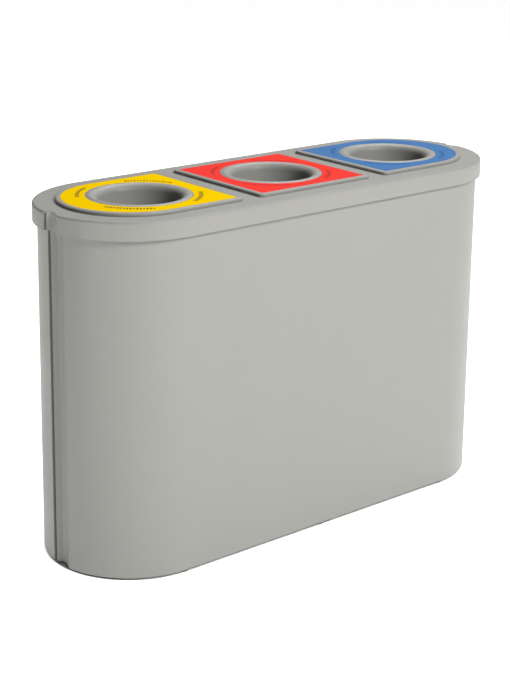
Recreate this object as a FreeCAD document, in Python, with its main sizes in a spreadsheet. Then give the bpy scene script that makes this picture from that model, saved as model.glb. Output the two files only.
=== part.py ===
"""Three-stream recycling station: a stadium-plan plastic cabinet with a lift-off lid, three lift-out
aperture inserts with colour plates, and an inner liner with a bail handle under each aperture.

Frame: origin on the floor under the middle of the cabinet, +X along its length, +Y to the back,
+Z up. All sizes are millimetres.
"""

import FreeCAD, Part
import math
import os

import Sketcher

SIZES = {
    # Plan: the end arcs of cabinet and lid share their centres, and so do the three apertures' pitch.
    "end_centre": 375,
    "pitch": 353,
    # Cabinet shells, two identical mouldings, the rear one turned half a turn.
    "shell_radius": 190,
    "shell_wall": 5,
    "shell_foot": 4,
    "shell_flange": 22,
    "shell_edge": 3,
    # Grip channel down each end, and the seam between the shells at its far corner.
    "channel_depth": 13,
    "channel_mouth": 35,
    "channel_floor_near": 12,
    "channel_floor_far": 4,
    "channel_lip": 4,
    "seam_near": 12.5,
    "seam_far": 17,
    "seam_pad_inset": 13,
    "seam_reach": 35,
    "seam_bolt_inset": 26,
    "seam_bolt_low": 90,
    "seam_bolt_step": 145,
    "seam_bolt_radius": 3,
    "seam_head_radius": 5.5,
    "seam_head_height": 4,
    "seam_nut_radius": 5.8,
    "seam_nut_height": 5,
    "bolt_play": 0.05,
    # Guide rails inside the shells, and the dividers that stand in them.
    "rail_depth": 9,
    "rail_width": 3,
    "rail_top": 690,
    "divider_thickness": 4,
    "divider_play": 0.3,
    "divider_top": 700,
    # Base tray, its liner ribs, fixings and feet.
    "tray_thickness": 4,
    "tray_play": 0.6,
    "tray_end_cut": 48,
    "tray_end_half": 42,
    "rib_height": 12,
    "rib_width": 3,
    "rib_play": 2,
    "fixing_inset": 14,
    "screw_inner": 94,
    "screw_outer": 300,
    "screw_radius": 2.5,
    "screw_head_radius": 5,
    "screw_head_height": 3,
    "foot_radius": 11,
    "foot_stem_radius": 3,
    # Lid.
    "lid_radius": 200,
    "lid_top": 756,
    "lid_height": 38,
    "lid_wall": 5,
    "lid_plate": 4,
    "lid_edge": 4.5,
    "lid_channel_depth": 12,
    "lid_channel_mouth": 30,
    "lid_channel_near": 10,
    "lid_channel_far": 4,
    "lid_channel_lip": 3.5,
    "lid_slot_near": 11,
    "lid_slot_far": 15.5,
    "lid_slot_depth": 6.5,
    "lid_pad_inset": 9.8,
    "lug_length": 40,
    "lug_width": 3,
    "lug_drop": 18,
    "lug_play": 1,
    "lug_pitch": 290,
    # Lift-out inserts.
    "insert_half_x": 155,
    "insert_half_y": 153,
    "insert_corner": 12,
    "insert_rise": 7,
    "insert_edge": 4,
    "insert_wall": 3,
    "insert_ledge": 5,
    "insert_skirt_drop": 16,
    "insert_play": 1,
    "bead_radius": 15.6,
    "bead_centre": 102.3,
    "bead_rise": 1.6,
    "throat_radius": 80,
    "throat_drop": 79,
    # Colour plates, let into the inserts.
    "label_half_x": 143.5,
    "label_half_y": 142.5,
    "label_corner": 5,
    "label_hole": 111.5,
    "label_thickness": 1,
    "label_sink": 1.1,
    "label_play": 0.3,
    # Liners and their bails.
    "liner_half_x": 134,
    "liner_half_y": 132,
    "liner_corner": 30,
    "liner_top": 700,
    "liner_wall": 3,
    "liner_floor": 4,
    "rim_width": 8,
    "rim_thickness": 4,
    "pivot_drop": 24,
    "boss_half": 10,
    "wire_radius": 2.5,
    "wire_bend": 12,
    "pin_bend": 3.2,
    "wire_play": 0.05,
    "bail_play": 1,
    "bail_arm": 134,
    "grip_radius": 8,
    "grip_length": 110,
    "grip_play": 0.3,
}

SIDES = {"left": -1, "middle": 0, "right": 1}
SEAM_BOLTS = 5
# Where fixings stand on the end arcs, in degrees from the cabinet's long middle line.
SCREW_ANGLE = 45
FOOT_ANGLE = 22

doc = FreeCAD.newDocument("recycling_station")
sheet = doc.addObject("Spreadsheet::Sheet", "dims")
for row, (alias, number) in enumerate(SIZES.items(), start=1):
    sheet.set(f"A{row}", alias)
    sheet.set(f"B{row}", str(number))
    sheet.setAlias(f"B{row}", alias)
doc.recompute()


class Size:
    """A length with its present value and the sheet expression that it stays bound to."""

    def __init__(self, value, text):
        self.value = value
        self.text = text

    def __add__(self, other):
        other = as_size(other)
        return Size(self.value + other.value, f"({self.text} + {other.text})")

    def __sub__(self, other):
        other = as_size(other)
        return Size(self.value - other.value, f"({self.text} - {other.text})")

    def __mul__(self, other):
        other = as_size(other)
        return Size(self.value * other.value, f"({self.text} * {other.text})")

    def __truediv__(self, other):
        other = as_size(other)
        return Size(self.value / other.value, f"({self.text} / {other.text})")

    def __radd__(self, other):
        return as_size(other) + self

    def __rsub__(self, other):
        return as_size(other) - self

    def __rmul__(self, other):
        return as_size(other) * self

    def __neg__(self):
        return self * -1


def as_size(number):
    """Wraps a plain number, so that sizes and numbers mix in a formula."""
    if isinstance(number, Size):
        return number
    return Size(float(number), f"({float(number)})")


def size(alias):
    """One of the sheet's sizes."""
    return Size(float(SIZES[alias]), f"dims.{alias}")


def chord_x(radius, offset):
    """How far a circle of this radius reaches in X at a distance of offset from its centre line."""
    value = math.sqrt(radius.value**2 - offset.value**2)
    return Size(value, f"sqrt({radius.text} * {radius.text} - {offset.text} * {offset.text})")


def bind(obj, name, amount):
    """Binds a property to a size."""
    obj.setExpression(name, as_size(amount).text)


def new_body(label):
    body = doc.addObject("PartDesign::Body", label)
    body.Label = label
    return body


def new_sketch(body, name, height=0, plane="XY_Plane"):
    """An empty sketch on one of the body's own origin planes, lifted along the plane's normal."""
    sketch = body.newObject("Sketcher::SketchObject", name)
    support = next(item for item in body.Origin.OriginFeatures if item.Role == plane)
    sketch.AttachmentSupport = [(support, "")]
    sketch.MapMode = "FlatFace"
    bind(sketch, "AttachmentOffset.Base.z", height)
    return sketch


def pin_point(sketch, geometry, position, x, y):
    """Fixes a point of a sketch at x, y from the sketch's origin."""
    for kind, axis, amount in (("DistanceX", -2, as_size(x)), ("DistanceY", -1, as_size(y))):
        if amount.text == "(0.0)":
            sketch.addConstraint(Sketcher.Constraint("PointOnObject", geometry, position, axis))
            continue
        index = sketch.addConstraint(Sketcher.Constraint(kind, -1, 1, geometry, position, amount.value))
        sketch.renameConstraint(index, f"{kind}{index}")
        bind(sketch, f"Constraints.{kind}{index}", amount)


def pin_height(sketch, geometry, position, y):
    """Fixes only the height of a point of a sketch above the sketch's origin."""
    index = sketch.addConstraint(
        Sketcher.Constraint("DistanceY", -1, 1, geometry, position, as_size(y).value)
    )
    sketch.renameConstraint(index, f"Height{index}")
    bind(sketch, f"Constraints.Height{index}", y)


def pin_radius(sketch, geometry, radius):
    """Fixes the radius of a circle or an arc of a sketch."""
    radius = as_size(radius)
    index = sketch.addConstraint(Sketcher.Constraint("Radius", geometry, radius.value))
    sketch.renameConstraint(index, f"Radius{index}")
    bind(sketch, f"Constraints.Radius{index}", radius)


def draw_circle(sketch, x, y, radius):
    centre = FreeCAD.Vector(as_size(x).value, as_size(y).value, 0)
    up = FreeCAD.Vector(0, 0, 1)
    index = sketch.addGeometry(Part.Circle(centre, up, as_size(radius).value))
    pin_point(sketch, index, 3, x, y)
    pin_radius(sketch, index, radius)


def draw_polygon(sketch, corners):
    """A closed outline of straight sides through the corners."""
    corners = [(as_size(x), as_size(y)) for x, y in corners]
    spots = [FreeCAD.Vector(x.value, y.value, 0) for x, y in corners]
    count = len(spots)
    lines = [
        sketch.addGeometry(Part.LineSegment(spots[i], spots[(i + 1) % count])) for i in range(count)
    ]
    for i in range(count):
        following = lines[(i + 1) % count]
        sketch.addConstraint(Sketcher.Constraint("Coincident", lines[i], 2, following, 1))
    for line, (x, y) in zip(lines, corners):
        pin_point(sketch, line, 1, x, y)


def draw_box(sketch, left, right, near, far):
    draw_polygon(sketch, [(left, near), (right, near), (right, far), (left, far)])


def draw_arcs(sketch, arcs, ends=None):
    """An outline of anticlockwise arcs joined by straight tangents.

    Each arc is (centre x, centre y, radius, start angle, end angle). With ends, the outline is open
    and its first and last tangents run out to those two points.
    """
    placed = []
    for x, y, radius, begin, finish in arcs:
        centre = FreeCAD.Vector(as_size(x).value, as_size(y).value, 0)
        circle = Part.Circle(centre, FreeCAD.Vector(0, 0, 1), as_size(radius).value)
        arc = Part.ArcOfCircle(circle, math.radians(begin), math.radians(finish))
        index = sketch.addGeometry(arc)
        placed.append((index, arc.StartPoint, arc.EndPoint))
        pin_point(sketch, index, 3, x, y)
        pin_radius(sketch, index, radius)

    count = len(placed)
    joints = [(placed[i], placed[(i + 1) % count]) for i in range(count if ends is None else count - 1)]
    for (before, _, start), (after, stop, _) in joints:
        line = sketch.addGeometry(Part.LineSegment(start, stop))
        sketch.addConstraint(Sketcher.Constraint("Tangent", line, 1, before, 2))
        sketch.addConstraint(Sketcher.Constraint("Tangent", line, 2, after, 1))
    if ends is None:
        return

    (first_x, first_y), (last_x, last_y) = ends
    first = FreeCAD.Vector(as_size(first_x).value, as_size(first_y).value, 0)
    last = FreeCAD.Vector(as_size(last_x).value, as_size(last_y).value, 0)
    lead_in = sketch.addGeometry(Part.LineSegment(first, placed[0][1]))
    lead_out = sketch.addGeometry(Part.LineSegment(placed[-1][2], last))
    sketch.addConstraint(Sketcher.Constraint("Tangent", lead_in, 2, placed[0][0], 1))
    sketch.addConstraint(Sketcher.Constraint("Tangent", lead_out, 1, placed[-1][0], 2))
    pin_height(sketch, lead_in, 1, first_y)
    pin_height(sketch, lead_out, 2, last_y)


def draw_stadium(sketch, radius):
    """The cabinet's plan: two half circles about the end centres, joined by straights."""
    end = size("end_centre")
    draw_arcs(sketch, [(end, 0, radius, -90, 90), (-end, 0, radius, 90, 270)])


def draw_bay(sketch, side, half_x, half_y, corner):
    """The plan of one bay: a rounded box in the middle, a D about the end centre at either end."""
    if side == 0:
        x = half_x - corner
        y = half_y - corner
        draw_arcs(
            sketch,
            [
                (x, y, corner, 0, 90),
                (-x, y, corner, 90, 180),
                (-x, -y, corner, 180, 270),
                (x, -y, corner, 270, 360),
            ],
        )
        return
    end = size("end_centre") * side
    flat = (size("pitch") - half_x + corner) * side
    y = half_y - corner
    if side < 0:
        arcs = [(flat, y, corner, 0, 90), (end, 0, half_y, 90, 270), (flat, -y, corner, 270, 360)]
    else:
        arcs = [(end, 0, half_y, -90, 90), (flat, y, corner, 90, 180), (flat, -y, corner, 180, 270)]
    draw_arcs(sketch, arcs)


def pad(body, sketch, length, name):
    feature = body.newObject("PartDesign::Pad", name)
    feature.Profile = sketch
    bind(feature, "Length", length)
    doc.recompute()
    return feature


def pocket(body, sketch, length, name, upward=False, both_ways=False):
    """Cuts a sketch's outline out of the body, and makes sure that something was cut."""
    before = body.Shape.Volume
    feature = body.newObject("PartDesign::Pocket", name)
    feature.Profile = sketch
    bind(feature, "Length", length)
    feature.Reversed = upward
    if both_ways:
        feature.SideType = "Symmetric"
    doc.recompute()
    if not body.Shape.Volume < before - 1:
        raise RuntimeError(f"{body.Label}: {name} cuts nothing")
    return feature


def edges_at(feature, height):
    """The names of a feature's edges that lie wholly at one height."""
    names = []
    for index, edge in enumerate(feature.Shape.Edges, start=1):
        box = edge.BoundBox
        if abs(box.ZMin - height.value) < 0.01 and abs(box.ZMax - height.value) < 0.01:
            names.append(f"Edge{index}")
    return names


def fillet(body, base, edges, radius, name):
    feature = body.newObject("PartDesign::Fillet", name)
    feature.Base = (base, edges)
    bind(feature, "Radius", radius)
    doc.recompute()
    return feature


def cylinder(name, x, y, z, radius, height, axis=(0, 0, 1)):
    """A Part cylinder standing at x, y, z along one of the frame's axes."""
    solid = doc.addObject("Part::Cylinder", name)
    bind(solid, "Radius", radius)
    bind(solid, "Height", height)
    solid.Placement.Rotation = FreeCAD.Rotation(FreeCAD.Vector(0, 0, 1), FreeCAD.Vector(*axis))
    move_to(solid, x, y, z)
    return solid


def move_to(solid, x, y, z):
    for axis, amount in (("x", x), ("y", y), ("z", z)):
        bind(solid, f"Placement.Base.{axis}", amount)


def group(label, solids):
    """One node that holds several separate solids of the same kind."""
    compound = doc.addObject("Part::Compound", label)
    compound.Label = label
    compound.Links = solids
    return compound


def fuse(name, base, tool):
    fusion = doc.addObject("Part::Fuse", name)
    fusion.Base = base
    fusion.Tool = tool
    return fusion


def cut(name, base, tool):
    difference = doc.addObject("Part::Cut", name)
    difference.Base = base
    difference.Tool = tool
    return difference


def shell_end():
    """How far the cabinet reaches along X from its middle."""
    return size("end_centre") + size("shell_radius")


def shell_top():
    """The height of the shells' top edge, where the lid's plate rests."""
    return size("lid_top") - size("lid_plate")


def tray_top():
    """The height of the tray's floor, where the liners stand."""
    return size("shell_foot") + size("shell_wall") + size("tray_thickness")


def seam_bolt_heights():
    return [size("seam_bolt_low") + size("seam_bolt_step") * i for i in range(SEAM_BOLTS)]


def flange_spots():
    """Where the base screws go: along the straights and halfway round each end arc."""
    reach = size("shell_radius") - size("fixing_inset")
    along = size("end_centre") + reach * math.cos(math.radians(SCREW_ANGLE))
    across = reach * math.sin(math.radians(SCREW_ANGLE))
    spots = []
    for near_far in (-1, 1):
        for end in (-1, 1):
            spots.append((size("screw_inner") * end, reach * near_far))
            spots.append((size("screw_outer") * end, reach * near_far))
            spots.append((along * end, across * near_far))
    return spots


def foot_spots():
    """Where the feet go: under the middle, at the ends of the straights and towards the end channels."""
    reach = size("shell_radius") - size("fixing_inset")
    along = size("end_centre") + reach * math.cos(math.radians(FOOT_ANGLE))
    across = reach * math.sin(math.radians(FOOT_ANGLE))
    spots = []
    for near_far in (-1, 1):
        spots.append((as_size(0), reach * near_far))
        for end in (-1, 1):
            spots.append((size("end_centre") * end, reach * near_far))
            spots.append((along * end, across * near_far))
    return spots


def make_shell(label, turned):
    """One cabinet shell: its half of the wall, a foot flange, the channel at its own left end and a
    seam flange at either end. The second shell is the same moulding turned half a turn."""
    body = new_body(label)
    if turned:
        body.Placement = FreeCAD.Placement(FreeCAD.Vector(), FreeCAD.Rotation(180, 0, 0))
    radius = size("shell_radius")
    wall = size("shell_wall")
    foot = size("shell_foot")
    height = shell_top() - foot
    end = shell_end()

    plan = new_sketch(body, "foot_flange_plan", foot)
    draw_stadium(plan, radius)
    draw_stadium(plan, radius - size("shell_flange"))
    flange = pad(body, plan, wall, "foot_flange")
    keep_outer = []
    for name in edges_at(flange, foot):
        edge = flange.Shape.getElement(name)
        far = max(abs(edge.BoundBox.YMin), abs(edge.BoundBox.YMax))
        if abs(far - radius.value) < 0.01:
            keep_outer.append(name)
    fillet(body, flange, keep_outer, size("shell_edge"), "foot_rounding")

    plan = new_sketch(body, "wall_plan", foot + size("shell_edge"))
    draw_stadium(plan, radius)
    draw_stadium(plan, radius - wall)
    pad(body, plan, height - size("shell_edge"), "wall")

    mouth = size("channel_mouth")
    seam_far = size("seam_far")
    clear = radius + wall
    plan = new_sketch(body, "other_half_plan", shell_top())
    draw_polygon(
        plan,
        [
            (-(end + wall), -mouth),
            (0, -mouth),
            (0, -seam_far),
            (end + wall, -seam_far),
            (end + wall, clear),
            (-(end + wall), clear),
        ],
    )
    pocket(body, plan, height, "other_half")

    floor_x = end - size("channel_depth")
    near = size("channel_floor_near")
    lip_x = end - size("channel_lip")
    seam_near = size("seam_near")
    reach_x = end - size("seam_reach")
    inside_x = floor_x - wall
    plan = new_sketch(body, "channel_plan", foot)
    draw_polygon(
        plan,
        [
            (-(size("end_centre") + chord_x(radius, mouth)), -mouth),
            (-floor_x, -near),
            (-floor_x, size("channel_floor_far")),
            (-lip_x, seam_near),
            (-reach_x, seam_near),
            (-reach_x, seam_near - wall),
            (-inside_x, seam_near - wall),
            (-inside_x, -(near + wall / 2)),
            (-(size("end_centre") + chord_x(radius - wall, mouth)), -mouth),
        ],
    )
    pad(body, plan, height, "channel")

    pad_x = end - size("seam_pad_inset")
    inner_corner = size("end_centre") + chord_x(radius - wall, seam_far + wall)
    outer_corner = size("end_centre") + chord_x(radius - wall / 2, seam_far)
    plan = new_sketch(body, "seam_flange_plan", foot)
    draw_polygon(
        plan,
        [
            (outer_corner, -seam_far),
            (pad_x, -seam_far),
            (pad_x, -seam_near),
            (reach_x, -seam_near),
            (reach_x, -(seam_far + wall)),
            (inner_corner + wall / 4, -(seam_far + wall)),
        ],
    )
    pad(body, plan, height, "seam_flange")

    rail_far = radius - wall / 2
    rail_near = radius - wall - size("rail_depth")
    gap = size("divider_thickness") / 2 + size("divider_play")
    plan = new_sketch(body, "rail_plan", foot + wall + size("tray_thickness"))
    for bay in (-1, 1):
        for edge in (-1, 1):
            middle = size("pitch") / 2 * bay
            inner = middle + gap * edge
            outer = middle + (gap + size("rail_width")) * edge
            draw_box(plan, inner, outer, -rail_far, -rail_near)
    pad(body, plan, size("rail_top") - foot - wall - size("tray_thickness"), "rails")

    bolt_x = end - size("seam_bolt_inset")
    holes = new_sketch(body, "seam_hole_plan", plane="XZ_Plane")
    for level in seam_bolt_heights():
        for side in (-1, 1):
            draw_circle(holes, bolt_x * side, level, size("seam_bolt_radius") + size("bolt_play"))
    pocket(body, holes, (seam_far + wall * 2) * 2, "seam_holes", both_ways=True)

    holes = new_sketch(body, "foot_hole_plan", foot + wall)
    for x, y in foot_spots():
        if y.value < 0:
            draw_circle(holes, x, y, size("foot_stem_radius") + size("bolt_play"))
    for x, y in flange_spots():
        if y.value < 0:
            draw_circle(holes, x, y, size("screw_radius") + size("bolt_play"))
    pocket(body, holes, wall, "flange_holes")
    return body


def make_tray():
    """The floor of the cabinet: it lies on both foot flanges and ribs on it hold the liners in place."""
    body = new_body("base_tray")
    low = size("shell_foot") + size("shell_wall")
    plan = new_sketch(body, "plate_plan", low)
    draw_stadium(plan, size("shell_radius") - size("shell_wall") - size("tray_play"))
    pad(body, plan, size("tray_thickness"), "plate")

    plan = new_sketch(body, "end_cut_plan", tray_top())
    near = size("tray_end_half")
    for side in (-1, 1):
        inner = (shell_end() - size("tray_end_cut")) * side
        outer = shell_end() * side
        left, right = (outer, inner) if side < 0 else (inner, outer)
        draw_box(plan, left, right, -near, near)
    pocket(body, plan, size("tray_thickness"), "end_cuts")

    for label, side in SIDES.items():
        plan = new_sketch(body, f"{label}_rib_plan", tray_top())
        inner_x = size("liner_half_x") + size("rib_play")
        inner_y = size("liner_half_y") + size("rib_play")
        corner = size("liner_corner")
        draw_bay(plan, side, inner_x + size("rib_width"), inner_y + size("rib_width"), corner)
        draw_bay(plan, side, inner_x, inner_y, corner)
        pad(body, plan, size("rib_height"), f"{label}_rib")

    holes = new_sketch(body, "screw_hole_plan", tray_top())
    for x, y in flange_spots():
        draw_circle(holes, x, y, size("screw_radius") + size("bolt_play"))
    pocket(body, holes, size("tray_thickness"), "screw_holes")


def make_base_fixings():
    """Rubber feet pushed up into the foot flanges, and the screws that hold the tray down on them."""
    foot = size("shell_foot")
    wall = size("shell_wall")
    feet = []
    for index, (x, y) in enumerate(foot_spots(), start=1):
        sole = cylinder(f"foot_sole_{index}", x, y, 0, size("foot_radius"), foot)
        stem = cylinder(f"foot_stem_{index}", x, y, 0, size("foot_stem_radius"), foot + wall)
        feet.append(fuse(f"foot_{index}", sole, stem))
    group("foot_pads", feet)

    screws = []
    for index, (x, y) in enumerate(flange_spots(), start=1):
        shank = cylinder(f"shank_{index}", x, y, foot, size("screw_radius"), tray_top() - foot)
        head_height = size("screw_head_height")
        head = cylinder(f"head_{index}", x, y, tray_top(), size("screw_head_radius"), head_height)
        screws.append(fuse(f"screw_{index}", shank, head))
    group("base_screws", screws)


def make_seam_fixings():
    """Bolts and nuts through the seam flanges, one column at either end."""
    near = size("seam_near") - size("shell_wall")
    grip = size("seam_far") + size("shell_wall") - near
    bolts = []
    nuts = []
    for side in (-1, 1):
        x = (shell_end() - size("seam_bolt_inset")) * side
        # At the left end a bolt runs to the back from its head, and at the right end to the front.
        axis = (0, -side, 0)
        for level, z in enumerate(seam_bolt_heights(), start=1):
            name = f"{'left' if side < 0 else 'right'}_{level}"
            start = near * -side
            length = grip + size("seam_nut_height")
            shank = cylinder(f"bolt_shank_{name}", x, start, z, size("seam_bolt_radius"), length, axis)
            head_start = (near - size("seam_head_height")) * -side
            head_size = size("seam_head_radius"), size("seam_head_height")
            head = cylinder(f"bolt_head_{name}", x, head_start, z, *head_size, axis)
            bolts.append(fuse(f"bolt_{name}", shank, head))

            nut_start = (near + grip) * -side
            prism = doc.addObject("Part::Prism", f"nut_prism_{name}")
            prism.Polygon = 6
            bind(prism, "Circumradius", size("seam_nut_radius"))
            bind(prism, "Height", size("seam_nut_height"))
            prism.Placement.Rotation = FreeCAD.Rotation(FreeCAD.Vector(0, 0, 1), FreeCAD.Vector(*axis))
            move_to(prism, x, nut_start, z)
            bore_radius = size("seam_bolt_radius") + size("bolt_play")
            bore = cylinder(f"nut_bore_{name}", x, nut_start, z, bore_radius, size("seam_nut_height"), axis)
            nuts.append(cut(f"nut_{name}", prism, bore))
    group("seam_bolts", bolts)
    group("seam_nuts", nuts)


def make_divider(label, side):
    """A flat panel between two bays, standing on the tray in the shells' rails."""
    panel = doc.addObject("Part::Box", label)
    panel.Label = label
    depth = size("shell_radius") - size("shell_wall") - size("divider_play")
    bind(panel, "Length", size("divider_thickness"))
    bind(panel, "Width", depth * 2)
    bind(panel, "Height", size("divider_top") - tray_top())
    move_to(panel, size("pitch") / 2 * side - size("divider_thickness") / 2, -depth, tray_top())


def make_lid():
    """The lift-off lid: a flat plate with a skirt that overhangs the shells and follows their end
    channels, three bay openings, and lugs that drop inside the shells' long walls."""
    body = new_body("lid")
    top = size("lid_top")
    low = top - size("lid_height")
    wall = size("lid_wall")
    radius = size("lid_radius")
    end = size("end_centre") + radius

    plan = new_sketch(body, "outer_plan", low)
    draw_stadium(plan, radius)
    block = pad(body, plan, size("lid_height"), "outer")
    fillet(body, block, edges_at(block, top), size("lid_edge"), "top_rounding")

    # The faces of an end channel and of the slot beside it, from the channel's floor outwards.
    near = size("lid_channel_near")
    far = size("lid_channel_far")
    mouth = size("lid_channel_mouth")
    slot_near = size("lid_slot_near")
    slot_far = size("lid_slot_far")
    floor_x = end - size("lid_channel_depth")
    slot_x = end - size("lid_slot_depth")
    faces = [
        (floor_x, near),
        (floor_x, -far),
        (end - size("lid_channel_lip"), -slot_near),
        (slot_x, -slot_near),
        (slot_x, -slot_far),
    ]
    plan = new_sketch(body, "channel_plan", top)
    corners = [
        (end + wall, mouth),
        (size("end_centre") + chord_x(radius, mouth), mouth),
        *faces,
        (end + wall, -slot_far),
    ]
    for turn in (-1, 1):
        draw_polygon(plan, [(x * turn, y * turn) for x, y in corners])
    pocket(body, plan, size("lid_height"), "end_channels")

    plan = new_sketch(body, "hollow_plan", low)
    draw_stadium(plan, radius - wall)
    pocket(body, plan, size("lid_height") - size("lid_plate"), "hollow", upward=True)

    # A wall behind the faces closes the skirt again where the channels break into the hollow.
    inner = radius - wall
    middle = radius - wall / 2
    wall_near = mouth + wall
    wall_far = slot_far + wall * 2
    pad_x = end - size("lid_pad_inset")
    plan = new_sketch(body, "channel_wall_plan", low)
    corners = [
        (size("end_centre") + chord_x(middle, mouth), mouth),
        *faces,
        (size("end_centre") + chord_x(middle, wall_far), -wall_far),
        (size("end_centre") + chord_x(inner, wall_far), -wall_far),
        (pad_x, -(slot_far + wall)),
        (pad_x, -slot_near),
        (floor_x - wall, -far),
        (floor_x - wall, near + wall / 2),
        (size("end_centre") + chord_x(inner, wall_near), wall_near),
        (size("end_centre") + chord_x(middle, wall_near), wall_near),
    ]
    for turn in (-1, 1):
        draw_polygon(plan, [(x * turn, y * turn) for x, y in corners])
    pad(body, plan, size("lid_height") - size("lid_plate"), "channel_walls")

    for label, side in SIDES.items():
        plan = new_sketch(body, f"{label}_opening_plan", top)
        half_x = size("insert_half_x") - size("insert_ledge")
        half_y = size("insert_half_y") - size("insert_ledge")
        draw_bay(plan, side, half_x, half_y, size("insert_corner") - size("insert_ledge") / 2)
        pocket(body, plan, size("lid_plate"), f"{label}_opening")

    far = size("shell_radius") - size("shell_wall") - size("lug_play")
    plan = new_sketch(body, "lug_plan", top - size("lid_plate") - size("lug_drop"))
    for step in (-1, 0, 1):
        left = size("lug_pitch") * step - size("lug_length") / 2
        right = size("lug_pitch") * step + size("lug_length") / 2
        draw_box(plan, left, right, far - size("lug_width"), far)
        draw_box(plan, left, right, -far, -(far - size("lug_width")))
    pad(body, plan, size("lug_drop"), "lugs")


def make_insert(label, side):
    """A lift-out aperture insert: a raised plate with a recess for the colour plate, a skirt that drops
    into the lid's opening, and a beaded collar that narrows into the throat."""
    body = new_body(f"{label}_insert")
    low = size("lid_top")
    top = low + size("insert_rise")
    wall = size("insert_wall")
    half_x = size("insert_half_x")
    half_y = size("insert_half_y")
    corner = size("insert_corner")

    plan = new_sketch(body, "plate_plan", low)
    draw_bay(plan, side, half_x, half_y, corner)
    plate = pad(body, plan, size("insert_rise"), "plate")
    fillet(body, plate, edges_at(plate, top), size("insert_edge"), "plate_rounding")

    drop = size("insert_skirt_drop")
    step_in = size("insert_ledge") + size("insert_play")
    skirt_corner = corner - step_in / 2
    plan = new_sketch(body, "skirt_plan", low - drop)
    draw_bay(plan, side, half_x - step_in, half_y - step_in, skirt_corner)
    pad(body, plan, drop, "skirt")
    plan = new_sketch(body, "underside_plan", low - drop)
    draw_bay(plan, side, half_x - step_in - wall, half_y - step_in - wall, skirt_corner - wall / 2)
    pocket(body, plan, drop + size("insert_rise") - wall, "underside", upward=True)

    centre = size("pitch") * side
    plan = new_sketch(body, "aperture_plan", top)
    draw_circle(plan, centre, 0, size("bead_centre"))
    pocket(body, plan, wall, "aperture")

    profile = new_sketch(body, "collar_profile", plane="XZ_Plane")
    draw_collar(profile, centre, top)
    axis_foot = FreeCAD.Vector(centre.value, 0, 0)
    axis_head = FreeCAD.Vector(centre.value, top.value, 0)
    axis = profile.addGeometry(Part.LineSegment(axis_foot, axis_head), True)
    pin_point(profile, axis, 1, centre, 0)
    pin_point(profile, axis, 2, centre, top)
    collar = body.newObject("PartDesign::Revolution", "collar")
    collar.Profile = profile
    collar.ReferenceAxis = (profile, ["Axis0"])
    collar.Angle = 360
    doc.recompute()

    plan = new_sketch(body, "label_recess_plan", top)
    play = size("label_play")
    draw_bay(plan, side, size("label_half_x") + play, size("label_half_y") + play, size("label_corner"))
    draw_circle(plan, centre, 0, size("label_hole") - play)
    pocket(body, plan, size("label_sink"), "label_recess")


def draw_collar(profile, centre, top):
    """Half the collar's section: a lip of even thickness that leaves the plate, rolls over its bead
    and narrows straight down into the throat."""
    wall = size("insert_wall")
    bead = size("bead_radius")
    bead_x = centre + size("bead_centre")
    bead_z = top + size("bead_rise") - bead
    throat_x = centre + size("throat_radius")
    throat_z = bead_z - size("throat_drop")

    # The lip starts half its thickness down in the plate, and the throat leaves it as a tangent.
    rise = top - wall / 2 - bead_z
    root = math.asin(rise.value / bead.value)
    run = bead_x.value - throat_x.value
    fall = size("throat_drop").value
    touch = math.pi + math.atan2(fall, run) - math.acos(bead.value / math.hypot(run, fall))
    up = FreeCAD.Vector(0, 0, 1)
    middle = FreeCAD.Vector(bead_x.value, bead_z.value, 0)
    arcs = []
    for radius in (bead, bead - wall):
        arc = Part.ArcOfCircle(Part.Circle(middle, up, radius.value), root, touch)
        index = profile.addGeometry(arc)
        pin_point(profile, index, 3, bead_x, bead_z)
        pin_radius(profile, index, radius)
        pin_height(profile, index, 1, bead_z + rise * radius / bead)
        arcs.append((index, arc.StartPoint, arc.EndPoint))
    (outer_arc, outer_root, outer_touch), (inner_arc, inner_root, inner_touch) = arcs

    throat_foot = FreeCAD.Vector(throat_x.value, throat_z.value, 0)
    back_foot = throat_foot + FreeCAD.Vector(wall.value / math.cos(math.pi - touch), 0, 0)
    throat = profile.addGeometry(Part.LineSegment(outer_touch, throat_foot))
    rim = profile.addGeometry(Part.LineSegment(throat_foot, back_foot))
    back = profile.addGeometry(Part.LineSegment(back_foot, inner_touch))
    closing = profile.addGeometry(Part.LineSegment(inner_root, outer_root))
    for joint in (
        ("Tangent", throat, 1, outer_arc, 2),
        ("Coincident", throat, 2, rim, 1),
        ("Horizontal", rim),
        ("Coincident", rim, 2, back, 1),
        ("Parallel", throat, back),
        ("Tangent", back, 2, inner_arc, 2),
        ("Coincident", inner_arc, 1, closing, 1),
        ("Coincident", closing, 2, outer_arc, 1),
    ):
        profile.addConstraint(Sketcher.Constraint(*joint))
    pin_point(profile, throat, 2, throat_x, throat_z)


def make_label(label, side):
    """A thin colour plate that lies in the insert's recess, round the collar."""
    body = new_body(f"{label}_label")
    low = size("lid_top") + size("insert_rise") - size("label_sink")
    plan = new_sketch(body, "label_plan", low)
    draw_bay(plan, side, size("label_half_x"), size("label_half_y"), size("label_corner"))
    draw_circle(plan, size("pitch") * side, 0, size("label_hole"))
    pad(body, plan, size("label_thickness"), "plate")


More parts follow.
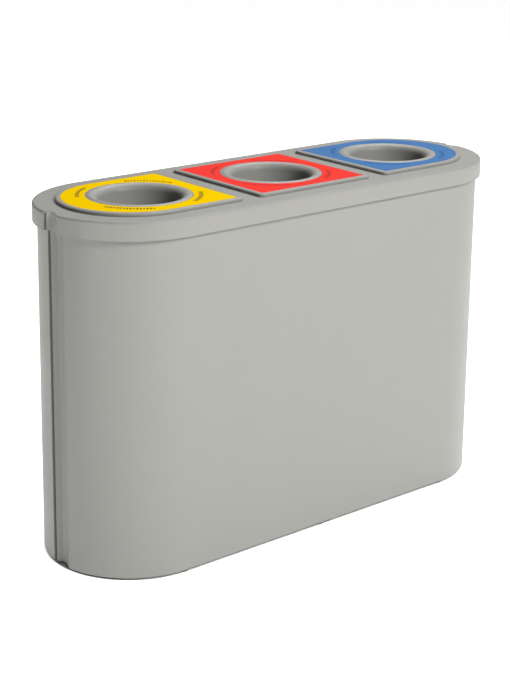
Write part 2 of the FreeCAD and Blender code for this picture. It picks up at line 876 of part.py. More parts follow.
def make_liner(label, side):
    """An inner bin that stands on the tray: thin walls, an outward rim and two pivot bosses."""
    body = new_body(f"{label}_liner")
    low = tray_top()
    top = size("liner_top")
    wall = size("liner_wall")
    half_x = size("liner_half_x")
    half_y = size("liner_half_y")
    corner = size("liner_corner")
    centre = size("pitch") * side

    plan = new_sketch(body, "wall_plan", low)
    draw_bay(plan, side, half_x, half_y, corner)
    pad(body, plan, top - low, "walls")

    rim = size("rim_width")
    plan = new_sketch(body, "rim_plan", top - size("rim_thickness"))
    draw_bay(plan, side, half_x + rim, half_y + rim, corner + rim)
    pad(body, plan, size("rim_thickness"), "rim")

    pivot_z = top - size("pivot_drop")
    half = size("boss_half")
    plan = new_sketch(body, "boss_plan", pivot_z - half)
    for near_far in (-1, 1):
        inner = (half_y - wall / 2) * near_far
        outer = (half_y + rim) * near_far
        near, far = (outer, inner) if near_far < 0 else (inner, outer)
        draw_box(plan, centre - half, centre + half, near, far)
    pad(body, plan, top - size("rim_thickness") - pivot_z + half, "bosses")

    plan = new_sketch(body, "hollow_plan", top)
    draw_bay(plan, side, half_x - wall, half_y - wall, corner - wall)
    pocket(body, plan, top - low - size("liner_floor"), "hollow")

    holes = new_sketch(body, "pivot_plan", plane="XZ_Plane")
    draw_circle(holes, centre, pivot_z, size("wire_radius") + size("wire_play"))
    pocket(body, holes, (half_y + rim * 2) * 2, "pivot_holes", both_ways=True)


def bail_leg_y():
    """How far each leg of a bail stands from the liner's middle, just outside the rim."""
    return size("liner_half_y") + size("rim_width") + size("bail_play") + size("wire_radius")


def make_bail(label, side):
    """A wire bail and its grip. It pivots in the liner's bosses and rests on the rim at the liner's
    straight side, so its arm rises a little from the pivot to the grip."""
    arm = size("bail_arm")
    leg = bail_leg_y()
    bend = size("wire_bend")
    pin_bend = size("pin_bend")
    rise = size("pivot_drop") + size("grip_radius") + size("grip_play")
    slope = Size(math.degrees(math.asin(rise.value / arm.value)), f"asin({rise.text} / {arm.text})")
    angle = slope if side <= 0 else Size(180, "180 deg") - slope
    base = size("pitch") * side, as_size(0), size("liner_top") - size("pivot_drop")

    wire = new_body(f"{label}_bail")
    path = new_sketch(wire, "bail_path")
    tip = size("liner_half_y") - size("liner_wall") / 2
    draw_arcs(
        path,
        [
            (pin_bend, -(leg - pin_bend), pin_bend, 180, 270),
            (arm - bend, -(leg - bend), bend, 270, 360),
            (arm - bend, leg - bend, bend, 0, 90),
            (pin_bend, leg - pin_bend, pin_bend, 90, 180),
        ],
        ends=((0, -tip), (0, tip)),
    )
    section = new_sketch(wire, "wire_section", tip, plane="XZ_Plane")
    draw_circle(section, 0, 0, size("wire_radius"))
    pipe = wire.newObject("PartDesign::AdditivePipe", "wire")
    pipe.Profile = section
    pipe.Spine = (path, [f"Edge{i + 1}" for i in range(len(path.Geometry))])
    doc.recompute()

    grip = new_body(f"{label}_grip")
    section = new_sketch(grip, "grip_section", size("grip_length") / -2, plane="XZ_Plane")
    draw_circle(section, arm, 0, size("grip_radius"))
    draw_circle(section, arm, 0, size("wire_radius") + size("wire_play"))
    pad(grip, section, size("grip_length"), "tube")

    for body in (wire, grip):
        body.Placement.Rotation = FreeCAD.Rotation(FreeCAD.Vector(0, -1, 0), angle.value)
        body.setExpression("Placement.Rotation.Angle", angle.text)
        move_to(body, *base)


make_shell("front_shell", turned=False)
make_shell("rear_shell", turned=True)
make_tray()
make_base_fixings()
make_seam_fixings()
make_divider("left_divider", -1)
make_divider("right_divider", 1)
make_lid()
for name, place in SIDES.items():
    make_insert(name, place)
    make_label(name, place)
    make_liner(name, place)
    make_bail(name, place)

NODES = ["front_shell", "rear_shell", "base_tray", "foot_pads", "base_screws", "seam_bolts", "seam_nuts"]
NODES += ["left_divider", "right_divider", "lid"]
NODES += [f"{side}_{piece}" for side in SIDES for piece in ("insert", "label", "liner", "bail", "grip")]

doc.recompute()
for item in doc.Objects:
    if "Invalid" in item.State or "Error" in item.State:
        raise RuntimeError(f"{item.Label} failed to recompute: {item.State}")

os.makedirs("parts", exist_ok=True)
for node in NODES:
    shape = doc.getObjectsByLabel(node)[0].Shape
    if shape.isNull() or not shape.isValid():
        raise RuntimeError(f"{node} has no valid shape")
    box = shape.BoundBox
    print(
        f"{node}: {len(shape.Solids)} solids, {shape.Volume / 1000:.1f} cm3, "
        f"x {box.XMin:.1f} to {box.XMax:.1f}, y {box.YMin:.1f} to {box.YMax:.1f}, "
        f"z {box.ZMin:.1f} to {box.ZMax:.1f}"
    )
    shape.exportStep(f"parts/{node}.step")
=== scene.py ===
# %% [markdown]
# # A three-stream recycling station
# The station is a long plastic cabinet with half-round ends, an overhanging lid and three coloured
# apertures. Its shells, lid, inserts and liners arrive as finished solids at real size, and stay as they
# are. This lesson gives them their plastics, metals and prints, adds the printed marks that are too thin
# to be worth a solid, and sets up a plain studio round them. Lengths are in metres.

# %% Load the station
import math

import bmesh
import bpy
from mathutils import Matrix, Vector


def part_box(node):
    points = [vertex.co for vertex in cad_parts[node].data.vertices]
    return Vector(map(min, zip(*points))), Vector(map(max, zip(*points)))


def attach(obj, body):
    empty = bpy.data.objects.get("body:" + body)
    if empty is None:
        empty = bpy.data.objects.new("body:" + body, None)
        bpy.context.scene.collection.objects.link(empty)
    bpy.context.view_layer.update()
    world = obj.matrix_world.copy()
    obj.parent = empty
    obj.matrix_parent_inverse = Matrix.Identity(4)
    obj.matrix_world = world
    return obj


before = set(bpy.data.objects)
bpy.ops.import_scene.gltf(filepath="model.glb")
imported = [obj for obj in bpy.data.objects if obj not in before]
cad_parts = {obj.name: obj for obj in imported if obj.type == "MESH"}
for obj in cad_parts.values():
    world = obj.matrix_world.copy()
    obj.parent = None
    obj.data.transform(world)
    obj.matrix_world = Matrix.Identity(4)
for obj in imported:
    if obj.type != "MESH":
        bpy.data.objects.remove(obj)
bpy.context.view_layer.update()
MM = 0.001

# %% [markdown]
# ## Naming the bays
# The three bays repeat the same pieces, so one short table of bay names drives every loop. The apertures
# stand at one even pitch, the middle one at the station's own centre, and the height of each colour plate's
# top is read from its solid.

# %% Bays and their aperture centres
BAYS = ("left", "middle", "right")
INK_OF_BAY = {"left": "yellow", "middle": "red", "right": "blue"}
APERTURE_PITCH = 353 * MM
aperture_x = {bay: APERTURE_PITCH * (index - 1) for index, bay in enumerate(BAYS)}
label_top = {bay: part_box(f"{bay}_label")[1][2] for bay in BAYS}
print("aperture centres:", aperture_x, "label tops:", label_top)

# %% [markdown]
# ## The camera
# The station is seen from its front left corner, a little from above, with a long lens. An architect's
# shift lens keeps tall sides nearly upright, so the lens is shifted down and the camera tilts less than
# it would without it. The camera is placed by its own three directions: right, up and back.

# %% Camera
CAMERA_PLACE = Vector((-2.260, -2.646, 1.518))
CAMERA_YAW = math.radians(39.96)
CAMERA_PITCH = math.radians(14.63)
CAMERA_ROLL = math.radians(0.67)
LENS_PER_LONG_SIDE = 2.333
LENS_SHIFT = -0.157


def place_camera():
    """Adds the camera, looking along its yaw and pitch, and makes it the scene's own."""
    data = bpy.data.cameras.new("studio_camera")
    camera = bpy.data.objects.new("studio_camera", data)
    bpy.context.scene.collection.objects.link(camera)
    ahead = Vector(
        (
            math.sin(CAMERA_YAW) * math.cos(CAMERA_PITCH),
            math.cos(CAMERA_YAW) * math.cos(CAMERA_PITCH),
            -math.sin(CAMERA_PITCH),
        )
    )
    level = Vector((math.cos(CAMERA_YAW), -math.sin(CAMERA_YAW), 0))
    upward = level.cross(ahead)
    right = level * math.cos(CAMERA_ROLL) + upward * math.sin(CAMERA_ROLL)
    turned_up = right.cross(ahead)
    axes = Matrix((right, turned_up, -ahead)).transposed()
    camera.matrix_world = Matrix.Translation(CAMERA_PLACE) @ axes.to_4x4()
    data.sensor_fit = "AUTO"
    data.sensor_width = 36
    data.lens = data.sensor_width * LENS_PER_LONG_SIDE
    data.shift_y = LENS_SHIFT
    data.clip_start = 0.05
    data.clip_end = 100
    bpy.context.scene.camera = camera
    return camera


camera = place_camera()
print("lens:", round(camera.data.lens, 2), "mm")

# %% [markdown]
# ## Node helpers
# A material is a small graph of nodes. Four helpers keep the graphs readable: one adds a node and sets its
# plain values, one makes a group with named sockets, one places a finished group in a material, and one
# mixes two colours. A Mix node has sockets of several kinds under the same names, so its colours are
# reached by number.

# %% Node helpers
MIX_COLOURS_IN = (6, 7)
MIX_COLOUR_OUT = 2


def add_node(tree, kind, values=None, **settings):
    """Adds a node, sets its properties from settings and its input sockets from values."""
    node = tree.nodes.new(kind)
    for name, setting in settings.items():
        setattr(node, name, setting)
    for name, value in (values or {}).items():
        node.inputs[name].default_value = value
    return node


def new_group(name, inputs, outputs):
    """A shader group whose inputs are floats with a default, and whose outputs are (name, kind)."""
    group = bpy.data.node_groups.new(name, "ShaderNodeTree")
    for socket, value in inputs.items():
        made = group.interface.new_socket(socket, in_out="INPUT", socket_type="NodeSocketFloat")
        made.default_value = value
    for socket, kind in outputs.items():
        group.interface.new_socket(socket, in_out="OUTPUT", socket_type=f"NodeSocket{kind}")
    return group, group.nodes.new("NodeGroupInput"), group.nodes.new("NodeGroupOutput")


def place_group(tree, group, **values):
    """Puts a group in a material and sets the inputs that differ from its defaults."""
    node = tree.nodes.new("ShaderNodeGroup")
    node.node_tree = group
    for name, value in values.items():
        node.inputs[name.replace("_", " ").title()].default_value = value
    return node


def mix_colour(tree, factor, first, second):
    """Mixes two colours. Each is a socket or a plain colour, and factor is a socket."""
    mix = add_node(tree, "ShaderNodeMix", data_type="RGBA")
    tree.links.new(factor, mix.inputs["Factor"])
    for index, colour in zip(MIX_COLOURS_IN, (first, second)):
        if isinstance(colour, tuple):
            mix.inputs[index].default_value = colour
        else:
            tree.links.new(colour, mix.inputs[index])
    return mix.outputs[MIX_COLOUR_OUT]


print("helpers:", [helper.__name__ for helper in (add_node, new_group, place_group, mix_colour)])

# %% [markdown]
# ## A floor that glows
# White things are often shot on a light table, a white floor that glows from below: the floor stays pale
# and throws light up at the sides. It could be a plain white plane under strong lamps, but then the station
# would throw a shadow on it. The glow is masked under the station, whose plan is two half circles and the
# straight between them: that black patch is a painted shadow, so its foot ends in a thin dark line.

# %% Floor
FLOOR_SIZE = 60
FLOOR_COLOUR = (0.90, 0.90, 0.895, 1)
FLOOR_ROUGHNESS = 0.9
FLOOR_SPECULAR = 0.1
FLOOR_GLOW = 1.00
# black glow under the station: a painted shadow
PAINTED_SHADOW = (0, 0, 0, 1)
END_CENTRE = 375 * MM
SHADOW_MASK_RADIUS = (186 * MM, 190 * MM)


def add_floor():
    """A white floor that glows everywhere but under the station's own plan, where a painted shadow stands.
    """
    bpy.ops.object.select_all(action="DESELECT")
    bpy.ops.mesh.primitive_plane_add(size=FLOOR_SIZE, location=(0, 0, 0))
    floor = bpy.context.object
    floor.name = "studio_floor"
    material = bpy.data.materials.new("studio_light_table")
    material.use_nodes = True
    tree = material.node_tree
    shader = tree.nodes["Principled BSDF"]
    shader.inputs["Base Color"].default_value = FLOOR_COLOUR
    shader.inputs["Roughness"].default_value = FLOOR_ROUGHNESS
    shader.inputs["Specular IOR Level"].default_value = FLOOR_SPECULAR
    shader.inputs["Emission Strength"].default_value = FLOOR_GLOW

    place = add_node(tree, "ShaderNodeTexCoord")
    parts = add_node(tree, "ShaderNodeSeparateXYZ")
    aside = add_node(tree, "ShaderNodeMath", operation="ABSOLUTE")
    beyond = add_node(tree, "ShaderNodeMath", {1: END_CENTRE}, operation="SUBTRACT")
    past_end = add_node(tree, "ShaderNodeMath", {1: 0}, operation="MAXIMUM")
    from_middle = add_node(tree, "ShaderNodeCombineXYZ")
    reach = add_node(tree, "ShaderNodeVectorMath", operation="LENGTH")
    within, outside = SHADOW_MASK_RADIUS
    mask = add_node(tree, "ShaderNodeMapRange", {"From Min": within, "From Max": outside})
    link = tree.links.new
    link(place.outputs["Object"], parts.inputs["Vector"])
    link(parts.outputs["X"], aside.inputs[0])
    link(aside.outputs["Value"], beyond.inputs[0])
    link(beyond.outputs["Value"], past_end.inputs[0])
    link(past_end.outputs["Value"], from_middle.inputs["X"])
    link(parts.outputs["Y"], from_middle.inputs["Y"])
    link(from_middle.outputs["Vector"], reach.inputs[0])
    link(reach.outputs["Value"], mask.inputs["Value"])
    # under the station's plan the glow is black: a painted shadow at its foot
    glow = mix_colour(tree, mask.outputs["Result"], PAINTED_SHADOW, FLOOR_COLOUR)
    link(glow, shader.inputs["Emission Color"])
    floor.data.materials.append(material)
    return floor


floor = add_floor()
print("floor:", [round(side) for side in floor.dimensions[:2]], "m")

# %% [markdown]
# ## Paper and room
# Pale paper hangs low on the side of the studio that the camera faces. It fades upwards and round the sides
# into a dark room, because a bright room all round washes out the colour of the plates. Two ramps, one by
# height and one by direction, are multiplied to give the strength of the light that comes from each way.

# %% Room
WHITE = (1, 1, 1, 1)
PAPER_BRIGHTNESS = 1.0
ROOM_BRIGHTNESS = 0.16
PAPER_TOP = 0.12
PAPER_DIRECTION = (0.64, 0.77, 0)
PAPER_FADE = (-0.2, 0.6)


def add_room():
    """Surroundings that fade from pale paper at the far horizon to a darker room above and around it."""
    world = bpy.data.worlds.new("studio_room")
    world.use_nodes = True
    tree = world.node_tree
    background = tree.nodes["Background"]
    background.inputs["Color"].default_value = WHITE
    direction = add_node(tree, "ShaderNodeTexCoord")
    parts = add_node(tree, "ShaderNodeSeparateXYZ")
    height = add_node(
        tree,
        "ShaderNodeMapRange",
        {"From Max": PAPER_TOP, "To Min": PAPER_BRIGHTNESS, "To Max": ROOM_BRIGHTNESS},
    )
    toward = add_node(tree, "ShaderNodeVectorMath", {1: PAPER_DIRECTION}, operation="DOT_PRODUCT")
    faded, full = PAPER_FADE
    side = add_node(
        tree,
        "ShaderNodeMapRange",
        {"From Min": faded, "From Max": full, "To Min": ROOM_BRIGHTNESS},
    )
    strength = add_node(tree, "ShaderNodeMath", operation="MULTIPLY")
    link = tree.links.new
    link(direction.outputs["Generated"], parts.inputs["Vector"])
    link(direction.outputs["Generated"], toward.inputs[0])
    link(parts.outputs["Z"], height.inputs["Value"])
    link(toward.outputs["Value"], side.inputs["Value"])
    link(height.outputs["Result"], strength.inputs[0])
    link(side.outputs["Result"], strength.inputs[1])
    link(strength.outputs["Value"], background.inputs["Strength"])
    bpy.context.scene.world = world
    return world


print("room:", add_room().name)

# %% [markdown]
# ## The lamps
# One soft light faces the long front from above. A broad one hangs high over the back, towards the right
# end, and lights the top of the lid. A weak one low at the left fills the channel there. The Standard view
# transform shows the colours as they are, with no film-like curve.

# %% Lamps
def add_light(name, place, aim, width, power):
    """A square area light at a place, facing a point."""
    data = bpy.data.lights.new(name, "AREA")
    data.shape = "SQUARE"
    data.size = width
    data.energy = power
    light = bpy.data.objects.new(name, data)
    bpy.context.scene.collection.objects.link(light)
    facing = (Vector(aim) - Vector(place)).to_track_quat("-Z", "Y")
    light.matrix_world = Matrix.Translation(place) @ facing.to_matrix().to_4x4()


add_light("front_softbox", place=(0.3, -3.5, 3.1), aim=(0, 0, 0.4), width=1.5, power=178)
add_light("top_softbox", place=(1.8, 1.2, 4.2), aim=(0, 0, 0.7), width=2.6, power=172)
add_light("left_fill", place=(-3.2, -0.6, 0.30), aim=(-0.5, -0.1, 0.30), width=0.7, power=11)
bpy.context.scene.view_settings.view_transform = "Standard"

# %% [markdown]
# ## Moulded grain
# A big plastic moulding copies the tool that made it: spark erosion leaves a fine, even grain of under a
# millimetre, and the melt's flow leaves very faint, broad clouds. Two sizes of noise make both. The grain
# goes to a Bump node, and the clouds shift colour and roughness by a few percent.

# %% Moulded grain group
GRAIN_PER_METRE = 900
CLOUDS_PER_METRE = 5
PIT_SOFTNESS = 0.6
PIT_SHARE = 0.5


def make_moulded_grain():
    """Fine pits and speckle for a Bump node, and faint clouds for colour and roughness."""
    group, enter, leave = new_group(
        "moulded_grain",
        {"Grain Per Metre": GRAIN_PER_METRE, "Clouds Per Metre": CLOUDS_PER_METRE},
        {"Height": "Float", "Clouds": "Float"},
    )
    place = add_node(group, "ShaderNodeTexCoord")
    grain = add_node(group, "ShaderNodeTexNoise", {"Detail": 2.5, "Roughness": 0.6})
    pits = add_node(group, "ShaderNodeTexVoronoi", {"Randomness": 1.0}, feature="SMOOTH_F1")
    pits.inputs["Smoothness"].default_value = PIT_SOFTNESS
    clouds = add_node(group, "ShaderNodeTexNoise", {"Detail": 3.0, "Roughness": 0.55})
    blend = add_node(group, "ShaderNodeMath", {1: PIT_SHARE}, operation="MULTIPLY_ADD")
    link = group.links.new
    for texture in (grain, pits, clouds):
        link(place.outputs["Object"], texture.inputs["Vector"])
    link(enter.outputs["Grain Per Metre"], grain.inputs["Scale"])
    link(enter.outputs["Grain Per Metre"], pits.inputs["Scale"])
    link(enter.outputs["Clouds Per Metre"], clouds.inputs["Scale"])
    link(pits.outputs["Distance"], blend.inputs[0])
    link(grain.outputs["Fac"], blend.inputs[2])
    link(blend.outputs["Value"], leave.inputs["Height"])
    link(clouds.outputs["Fac"], leave.inputs["Clouds"])
    return group


MOULDED_GRAIN = make_moulded_grain()
print("group:", MOULDED_GRAIN.name)

# %% [markdown]
# ## Softened edges and rubbed corners
# No moulded edge is a knife edge. A Bevel node rounds the shading of every edge by about a millimetre, and
# where its normal leaves the face's own normal there is an edge: that difference is the mask for paler,
# rubbed corners. It needs no extra geometry, so it suits long edges that are too thin to show their shape.

# %% Edge group
EDGE_RADIUS = 1.2 * MM
EDGE_LIKENESS = (0.99, 0.80)
WEAR_PATCHES_PER_METRE = 60.0


def make_soft_edges():
    """A normal with rounded edges, and a patchy mask of those edges."""
    group, enter, leave = new_group(
        "soft_edges",
        {"Radius": EDGE_RADIUS, "Wear": 0.5},
        {"Normal": "Vector", "Edge": "Float"},
    )
    rounded = add_node(group, "ShaderNodeBevel", samples=6)
    flat = add_node(group, "ShaderNodeNewGeometry")
    likeness = add_node(group, "ShaderNodeVectorMath", operation="DOT_PRODUCT")
    flat_face, full_edge = EDGE_LIKENESS
    spread = add_node(group, "ShaderNodeMapRange", {"From Min": flat_face, "From Max": full_edge})
    place = add_node(group, "ShaderNodeTexCoord")
    patches = add_node(group, "ShaderNodeTexNoise", {"Scale": WEAR_PATCHES_PER_METRE, "Detail": 4.0})
    broken = add_node(group, "ShaderNodeMath", operation="MULTIPLY")
    amount = add_node(group, "ShaderNodeMath", operation="MULTIPLY")
    link = group.links.new
    link(enter.outputs["Radius"], rounded.inputs["Radius"])
    link(rounded.outputs["Normal"], likeness.inputs[0])
    link(flat.outputs["Normal"], likeness.inputs[1])
    link(likeness.outputs["Value"], spread.inputs["Value"])
    link(place.outputs["Object"], patches.inputs["Vector"])
    link(spread.outputs["Result"], broken.inputs[0])
    link(patches.outputs["Fac"], broken.inputs[1])
    link(broken.outputs["Value"], amount.inputs[0])
    link(enter.outputs["Wear"], amount.inputs[1])
    link(rounded.outputs["Normal"], leave.inputs["Normal"])
    link(amount.outputs["Value"], leave.inputs["Edge"])
    return group


SOFT_EDGES = make_soft_edges()
print("group:", SOFT_EDGES.name)

# %% [markdown]
# ## Painted shade and dirt in the corners
# Dust and cleaning water collect where surfaces meet: in the seam, under the lid's skirt and round the
# collars. Shade falls there too, so the colour there is darkened partly for dirt and partly as painted
# shade, such as the shadow lines under the skirt and at the foot. Ambient occlusion finds those places,
# because little of the sky reaches them, and a noise breaks the mask up so that it doesn't look like a
# drawn line.

# %% Corner dirt and painted shade group
GRIME_AND_SHADE_REACH = 12 * MM
SKY_SEEN = (0.75, 0.15)
GRIME_AND_SHADE_PATCHES = {"Scale": 35.0, "Detail": 5.0, "Roughness": 0.65}


def make_corner_grime_and_shade():
    """A patchy mask of the places that little of the sky reaches, for dirt and painted shade."""
    group, enter, leave = new_group(
        "corner_grime_and_shade",
        {"Reach": GRIME_AND_SHADE_REACH, "Amount": 0.5},
        {"Grime And Shade": "Float"},
    )
    hidden = add_node(group, "ShaderNodeAmbientOcclusion", samples=6)
    clean, grimy = SKY_SEEN
    spread = add_node(group, "ShaderNodeMapRange", {"From Min": clean, "From Max": grimy})
    place = add_node(group, "ShaderNodeTexCoord")
    patches = add_node(group, "ShaderNodeTexNoise", GRIME_AND_SHADE_PATCHES)
    broken = add_node(group, "ShaderNodeMath", operation="MULTIPLY")
    amount = add_node(group, "ShaderNodeMath", operation="MULTIPLY")
    link = group.links.new
    link(enter.outputs["Reach"], hidden.inputs["Distance"])
    link(hidden.outputs["AO"], spread.inputs["Value"])
    link(place.outputs["Object"], patches.inputs["Vector"])
    link(spread.outputs["Result"], broken.inputs[0])
    link(patches.outputs["Fac"], broken.inputs[1])
    link(broken.outputs["Value"], amount.inputs[0])
    link(enter.outputs["Amount"], amount.inputs[1])
    link(amount.outputs["Value"], leave.inputs["Grime And Shade"])
    return group


CORNER_GRIME_AND_SHADE = make_corner_grime_and_shade()
print("groups:", [group.name for group in bpy.data.node_groups])

# %% [markdown]
# ## One recipe for the plastics
# Cabinet, liners, tray, grips, feet, plates and print are built alike, and differ in colour, gloss, grain,
# wear, and dirt with painted shade. One function builds the graph from those values: clouds vary the
# colour, corners go paler, hidden places go darker with dirt and painted shade, and the grain and the soft
# edges share one normal.

# %% Plastic recipe
CLOUD_MIDDLE = {"From Min": 0.3, "From Max": 0.7}
RUBBED_SHADE = 1.35
# hidden places darken to this share of their colour: dirt and painted shade
GRIME_AND_SHADE_TINT = 0.30
GLOSS_SPREAD = 0.05


def shade(colour, amount):
    """A colour made lighter or darker by a factor."""
    return tuple(min(1.0, channel * amount) for channel in colour[:3]) + (1.0,)


def plastic(name, colour, roughness, grain_size, grain_depth, wear, grime_and_shade, cloud=0.03, specular=0.5):
    """A moulded plastic: clouds in its colour, paler corners, darker hidden places (dirt and painted shade)
    and a fine grain.
    """
    material = bpy.data.materials.new(name)
    material.use_nodes = True
    tree = material.node_tree
    shader = tree.nodes["Principled BSDF"]
    shader.inputs["IOR"].default_value = 1.5
    shader.inputs["Specular IOR Level"].default_value = specular
    link = tree.links.new

    grain = place_group(tree, MOULDED_GRAIN, grain_per_metre=1 / grain_size)
    edges = place_group(tree, SOFT_EDGES, wear=wear)
    corners = place_group(tree, CORNER_GRIME_AND_SHADE, amount=grime_and_shade)
    cloudy = mix_colour(tree, grain.outputs["Clouds"], shade(colour, 1 - cloud), shade(colour, 1 + cloud))
    rubbed = mix_colour(tree, edges.outputs["Edge"], cloudy, shade(colour, RUBBED_SHADE))
    # places that little sky reaches are darkened: partly dirt, partly painted shade
    corner_darkened = mix_colour(tree, corners.outputs["Grime And Shade"], rubbed, shade(colour, GRIME_AND_SHADE_TINT))
    link(corner_darkened, shader.inputs["Base Color"])

    gloss = add_node(
        tree,
        "ShaderNodeMapRange",
        {**CLOUD_MIDDLE, "To Min": roughness - GLOSS_SPREAD, "To Max": roughness + GLOSS_SPREAD},
    )
    link(grain.outputs["Clouds"], gloss.inputs["Value"])
    link(gloss.outputs["Result"], shader.inputs["Roughness"])

    bump = add_node(tree, "ShaderNodeBump", {"Strength": 1.0, "Distance": grain_depth})
    link(grain.outputs["Height"], bump.inputs["Height"])
    link(edges.outputs["Normal"], bump.inputs["Normal"])
    link(bump.outputs["Normal"], shader.inputs["Normal"])
    return material


def dress(material, *nodes):
    """Gives CAD nodes or new pieces one material."""
    for node in nodes:
        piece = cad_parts[node] if isinstance(node, str) else node
        piece.data.materials.clear()
        piece.data.materials.append(material)


# %% [markdown]
# ## The cabinet, lid and inserts
# All the outer mouldings are the same warm grey, satin and finely grained. They differ in edge wear and in
# how much their corners are darkened by dirt and painted shade: the cabinet much, to paint the shadow lines
# under the lid's skirt and at its foot, and the lid and inserts little.

# %% Cabinet plastic
CABINET_GREY = (0.262, 0.259, 0.243, 1)
OUTER_FINISH = {"roughness": 0.46, "grain_size": 0.9 * MM, "grain_depth": 0.05 * MM, "specular": 0.28}
# the cabinet's large amount paints shade: dark lines under the lid's skirt and at the foot
cabinet_plastic = plastic("cabinet_plastic", CABINET_GREY, wear=0.30, grime_and_shade=0.85, **OUTER_FINISH)
lid_and_insert_plastic = plastic("lid_and_insert_plastic", CABINET_GREY, wear=0.15, grime_and_shade=0.25, **OUTER_FINISH)
dress(cabinet_plastic, "front_shell", "rear_shell")
dress(lid_and_insert_plastic, "lid", *[f"{bay}_insert" for bay in BAYS])
print("outer plastics:", cabinet_plastic.name, lid_and_insert_plastic.name)

# %% [markdown]
# ## The inner plastics
# The liners are darker, recycled plastic that hides stains, the tray and dividers are a plain mid grey, the
# grips on the bails are nearly black, and the feet are grey rubber. None of them is polished, so all are
# rougher than the cabinet and more worn at their edges.

# %% Inner plastics
liner_plastic = plastic(
    "liner_plastic",
    (0.060, 0.063, 0.066, 1),
    roughness=0.55,
    grain_size=1.2 * MM,
    grain_depth=0.08 * MM,
    wear=0.8,
    grime_and_shade=0.6,
    cloud=0.10,
)
tray_plastic = plastic(
    "tray_plastic",
    (0.185, 0.185, 0.180, 1),
    roughness=0.6,
    grain_size=1.2 * MM,
    grain_depth=0.08 * MM,
    wear=0.5,
    grime_and_shade=0.8,
    cloud=0.06,
)
grip_plastic = plastic(
    "grip_plastic",
    (0.025, 0.026, 0.028, 1),
    roughness=0.5,
    grain_size=0.8 * MM,
    grain_depth=0.1 * MM,
    wear=0.9,
    grime_and_shade=0.3,
    cloud=0.12,
)
foot_rubber = plastic(
    "foot_rubber",
    (0.100, 0.100, 0.098, 1),
    roughness=0.8,
    grain_size=0.6 * MM,
    grain_depth=0.1 * MM,
    wear=1.0,
    grime_and_shade=0.4,
    cloud=0.15,
)
dress(liner_plastic, *[f"{bay}_liner" for bay in BAYS])
dress(tray_plastic, "base_tray", "left_divider", "right_divider")
dress(grip_plastic, *[f"{bay}_grip" for bay in BAYS])
dress(foot_rubber, "foot_pads")
print("inner plastics:", [item.name for item in (liner_plastic, tray_plastic, grip_plastic, foot_rubber)])

# %% [markdown]
# ## Zinc-plated steel
# Bolts, nuts, screws and the bail wires are plated steel. Plating has a soft, broken shine: crystals a few
# millimetres across reflect a little differently, and fine drawing lines catch the light. A Voronoi
# pattern gives the crystals, and a stretched noise gives the lines.

# %% Zinc
CRYSTAL_SHADES = (0.82, 1.12)
POLISHED_SHADE = 1.3
TARNISHED_SHADE = 0.2
LINES_PER_METRE = (900, 120, 900)
LINE_DEPTH = 0.02 * MM
LINE_GLOSS_SPREAD = 0.08


def zinc(name, colour, roughness, crystal_size):
    """Plated steel: crystals and drawing lines, polished edges and tarnished corners."""
    material = bpy.data.materials.new(name)
    material.use_nodes = True
    tree = material.node_tree
    shader = tree.nodes["Principled BSDF"]
    shader.inputs["Metallic"].default_value = 1.0
    link = tree.links.new
    place = add_node(tree, "ShaderNodeTexCoord")
    crystals = add_node(tree, "ShaderNodeTexVoronoi", {"Scale": 1 / crystal_size})
    lines = add_node(tree, "ShaderNodeTexNoise", {"Scale": 1.0, "Detail": 2.0})
    stretch = add_node(tree, "ShaderNodeMapping", {"Scale": LINES_PER_METRE})
    edges = place_group(tree, SOFT_EDGES, radius=0.5 * MM, wear=0.6)
    corners = place_group(tree, CORNER_GRIME_AND_SHADE, reach=4 * MM, amount=0.8)
    link(place.outputs["Object"], crystals.inputs["Vector"])
    link(place.outputs["Object"], stretch.inputs["Vector"])
    link(stretch.outputs["Vector"], lines.inputs["Vector"])
    darker, lighter = [shade(colour, amount) for amount in CRYSTAL_SHADES]
    plated = mix_colour(tree, crystals.outputs["Color"], darker, lighter)
    rubbed = mix_colour(tree, edges.outputs["Edge"], plated, shade(colour, POLISHED_SHADE))
    corner_darkened = mix_colour(tree, corners.outputs["Grime And Shade"], rubbed, shade(colour, TARNISHED_SHADE))
    link(corner_darkened, shader.inputs["Base Color"])
    gloss = add_node(
        tree,
        "ShaderNodeMapRange",
        {**CLOUD_MIDDLE, "To Min": roughness - LINE_GLOSS_SPREAD, "To Max": roughness + LINE_GLOSS_SPREAD},
    )
    link(lines.outputs["Fac"], gloss.inputs["Value"])
    link(gloss.outputs["Result"], shader.inputs["Roughness"])
    bump = add_node(tree, "ShaderNodeBump", {"Strength": 1.0, "Distance": LINE_DEPTH})
    link(lines.outputs["Fac"], bump.inputs["Height"])
    link(edges.outputs["Normal"], bump.inputs["Normal"])
    link(bump.outputs["Normal"], shader.inputs["Normal"])
    return material


fastener_zinc = zinc("fastener_zinc", (0.56, 0.56, 0.54, 1), roughness=0.36, crystal_size=1.5 * MM)
wire_zinc = zinc("wire_zinc", (0.60, 0.60, 0.60, 1), roughness=0.28, crystal_size=2.5 * MM)
dress(fastener_zinc, "base_screws", "seam_bolts", "seam_nuts")
dress(wire_zinc, *[f"{bay}_bail" for bay in BAYS])
print("metals:", fastener_zinc.name, wire_zinc.name)

# %% [markdown]
# ## The colour plates
# Each stream has a colour, printed on a thin plate. Print lies very flat, so its grain is shallow and fine.
# The ink is matt, with no shine at all over its colour, so that it stays strong under a pale room.

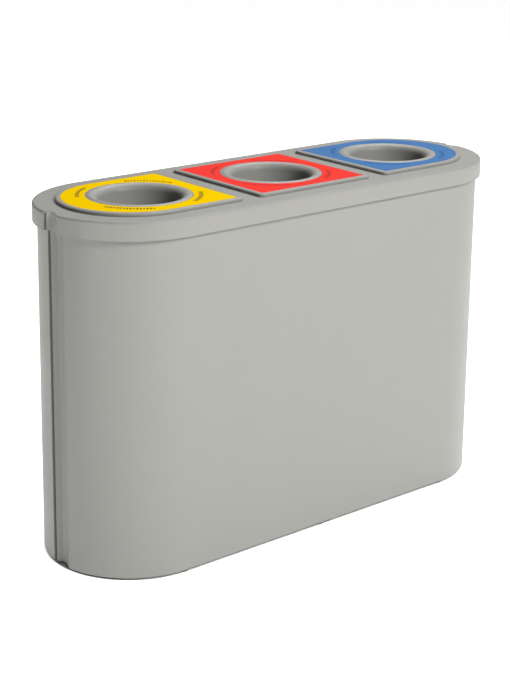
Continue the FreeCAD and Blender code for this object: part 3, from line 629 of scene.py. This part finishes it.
# %% Colour plates
PLATE_COLOURS = {
    "yellow": (0.720, 0.470, 0.001, 1),
    "red": (0.700, 0.044, 0.035, 1),
    "blue": (0.064, 0.156, 0.340, 1),
}
for bay in BAYS:
    ink = INK_OF_BAY[bay]
    plate = plastic(
        f"{ink}_plate",
        PLATE_COLOURS[ink],
        roughness=0.38,
        grain_size=0.5 * MM,
        grain_depth=0.02 * MM,
        wear=0.4,
        grime_and_shade=0.3,
        cloud=0.02,
        specular=0.0,
    )
    dress(plate, f"{bay}_label")
print("materials:", sorted(material.name for material in bpy.data.materials))

# %% [markdown]
# ## Printed marks
# Each plate carries four short rows of marks that follow the ring, one at each diagonal, in a darker shade
# of the plate's own colour. They are plain bars of two heights, with no lettering. A bar of each height is
# modelled: a cube flattened to the thickness of a print and rounded at its corners. Copies of them are
# turned round the aperture and joined to one piece.

# %% Printed marks
MARK_RADIUS = 127 * MM
MARK_WIDTH = 3.4 * MM
MARK_HEIGHTS = (12.0 * MM, 8.5 * MM)
MARK_THICKNESS = 0.16 * MM
MARK_CORNER = 0.7 * MM
MARK_STEP = math.radians(3.0)
ROWS = 4
FIRST_ROW = math.radians(-45)
ROW_STEP = math.radians(90)
MARKS_IN_ROW = (16, 13)


def model_bar(name, height):
    """One rounded bar round the origin, long along Y."""
    bpy.ops.object.select_all(action="DESELECT")
    bpy.ops.mesh.primitive_cube_add(size=1)
    bar = bpy.context.object
    bar.name = name
    bar.dimensions = (MARK_WIDTH, height, MARK_THICKNESS)
    bpy.ops.object.transform_apply(location=False, rotation=False, scale=True)
    bpy.ops.object.mode_set(mode="EDIT")
    bpy.ops.mesh.select_all(action="DESELECT")
    mesh = bmesh.from_edit_mesh(bar.data)
    for edge in mesh.edges:
        ends = [vertex.co for vertex in edge.verts]
        edge.select = abs(ends[0].z - ends[1].z) > MARK_THICKNESS / 2
    bmesh.update_edit_mesh(bar.data)
    bpy.ops.mesh.select_mode(type="EDGE")
    bpy.ops.mesh.bevel(offset=MARK_CORNER, segments=2)
    bpy.ops.object.mode_set(mode="OBJECT")
    return bar


def ring_of_marks(bay, material):
    """Four rows of bars round one aperture, joined to one piece that rides with the insert."""
    tall, short = [model_bar(f"{bay}_bar_{index}", height) for index, height in enumerate(MARK_HEIGHTS)]
    copies = []
    for row in range(ROWS):
        count = MARKS_IN_ROW[row % 2]
        for place in range(count):
            offset = (place - (count - 1) / 2) * MARK_STEP
            angle = FIRST_ROW + ROW_STEP * row + offset
            # squares counted in threes mix the two heights unevenly, with no draw to keep in step
            is_short = (place * place + row) % 3 > 0
            pattern = short if is_short else tall
            copy = bpy.data.objects.new(f"{bay}_mark", pattern.data.copy())
            bpy.context.scene.collection.objects.link(copy)
            shift = Matrix.Translation((aperture_x[bay], 0, label_top[bay]))
            out = Matrix.Translation((0, MARK_RADIUS, 0))
            copy.data.transform(shift @ Matrix.Rotation(angle, 4, "Z") @ out)
            copies.append(copy)
    for bar in (tall, short):
        bpy.data.objects.remove(bar)
    bpy.ops.object.select_all(action="DESELECT")
    for copy in copies:
        copy.select_set(True)
    bpy.context.view_layer.objects.active = copies[0]
    bpy.ops.object.join()
    marks = bpy.context.object
    marks.name = f"{bay}_print"
    dress(material, marks)
    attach(marks, f"{bay}_insert")
    return marks


MARK_INKS = {
    "yellow": (0.060, 0.035, 0.010, 1),
    "red": (0.360, 0.018, 0.015, 1),
    "blue": (0.026, 0.090, 0.250, 1),
}
for bay in BAYS:
    ink = INK_OF_BAY[bay]
    mark_ink = plastic(
        f"{ink}_mark_ink",
        MARK_INKS[ink],
        roughness=0.5,
        grain_size=0.5 * MM,
        grain_depth=0.01 * MM,
        wear=0.2,
        grime_and_shade=0.2,
        specular=0.04,
    )
    marks = ring_of_marks(bay, mark_ink)
    print(marks.name, "faces:", len(marks.data.polygons))
